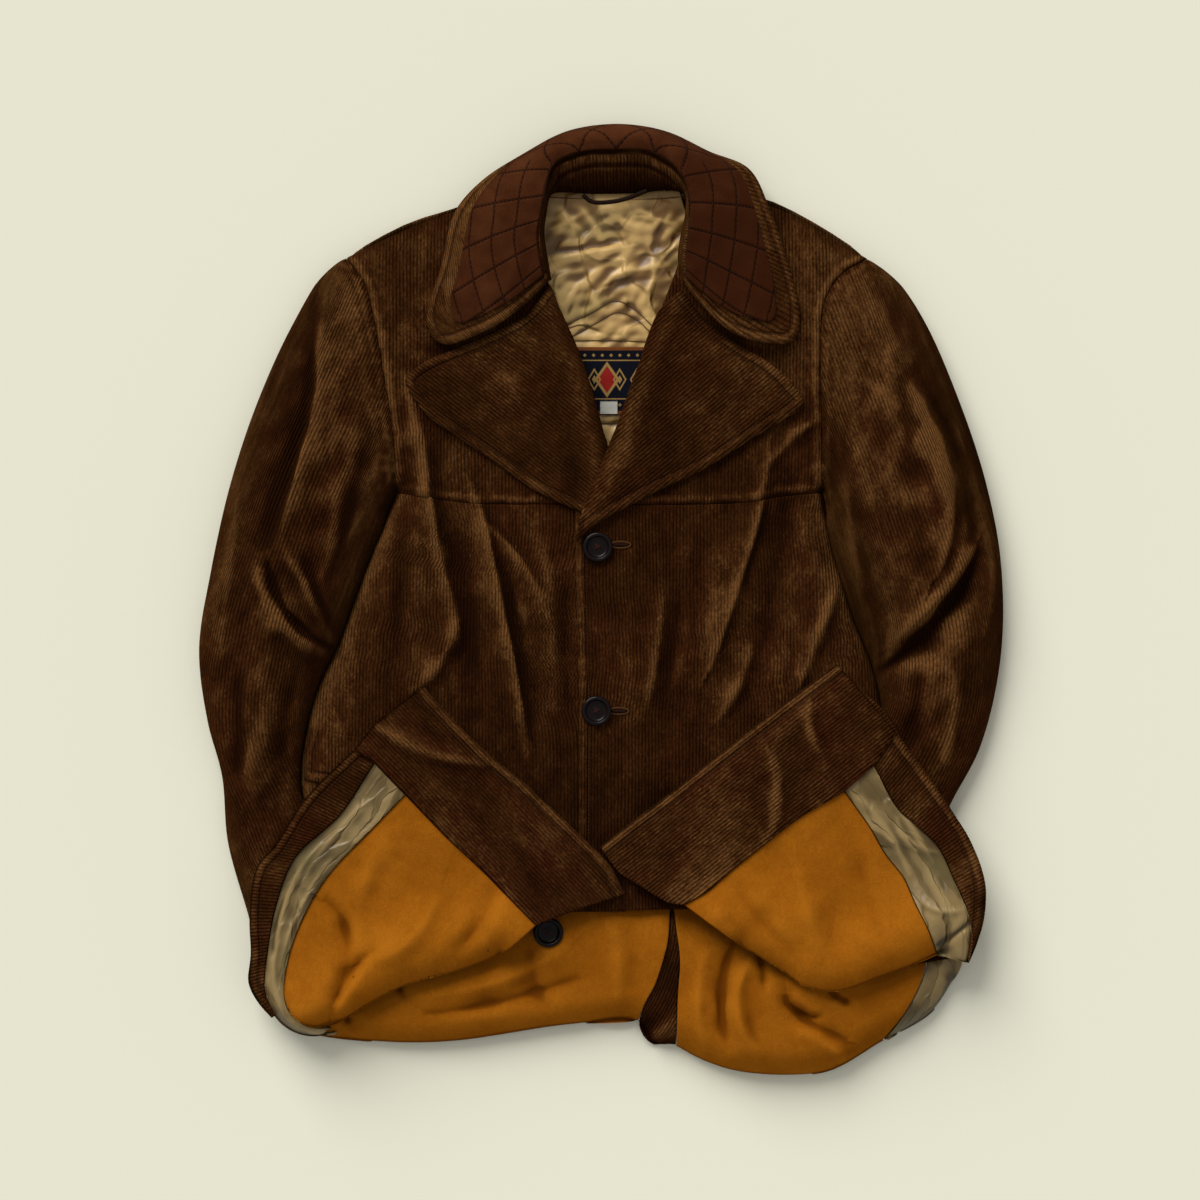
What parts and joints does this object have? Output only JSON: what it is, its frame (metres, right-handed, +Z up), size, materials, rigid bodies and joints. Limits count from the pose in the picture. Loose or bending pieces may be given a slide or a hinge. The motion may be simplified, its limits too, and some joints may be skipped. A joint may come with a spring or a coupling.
{
  "type": "corduroy coat",
  "caption": "Wide-wale corduroy coat laid flat and buttoned, with wide lapels, a suede-faced collar and its lower front corners turned up over the lining.",
  "frame": {"origin": "middle of the bounding box, on the floor that the coat lies on", "axes": "+Z up from the floor through the fronts, +Y from the hem to the collar, +X towards the wearer's left"},
  "size_m": [0.6851, 0.814, 0.0466],
  "materials": {
    "corduroy": "dark brown cotton corduroy with raised, slightly worn wales",
    "suede": "matt brown suede with dark stitching in a grid",
    "wool_lining": "orange brushed wool flannel",
    "neck_satin": "shiny gold satin",
    "satin_band": "shiny grey-green satin",
    "woven_label": null,
    "white_tab": "white woven tape, bare",
    "cord": "dark brown cord",
    "button": "near-black glossy button with a raised rim"
  },
  "bodies": {
    "root": {"back": "corduroy", "front_right": "corduroy", "front_left": "corduroy", "front_yoke_right": "corduroy", "front_yoke_left": "corduroy", "top_sleeve_right": "corduroy", "under_sleeve_right": "corduroy", "top_sleeve_left": "corduroy", "under_sleeve_left": "corduroy", "lapel_right": "corduroy", "lapel_left": "corduroy", "collar": "corduroy", "collar_inlay": "suede", "turned_up_front_right": "corduroy", "turned_up_front_left": "corduroy", "facing_right": "corduroy", "facing_left": "corduroy", "hem_right": "corduroy", "hem_left": "corduroy", "satin_band_right": "satin_band", "satin_band_left": "satin_band", "satin_band_back": "satin_band", "front_lining_right": "wool_lining", "front_lining_left": "wool_lining", "back_lining_right": "wool_lining", "back_lining_left": "wool_lining", "vent_underlap": "corduroy", "neck_lining": "neck_satin", "label": "woven_label", "size_tab": "white_tab", "hanger_loop": "cord", "pocket_flap_right": "corduroy", "button_1": "button", "button_2": "button", "button_3": "button"}
  },
  "joints": []
}
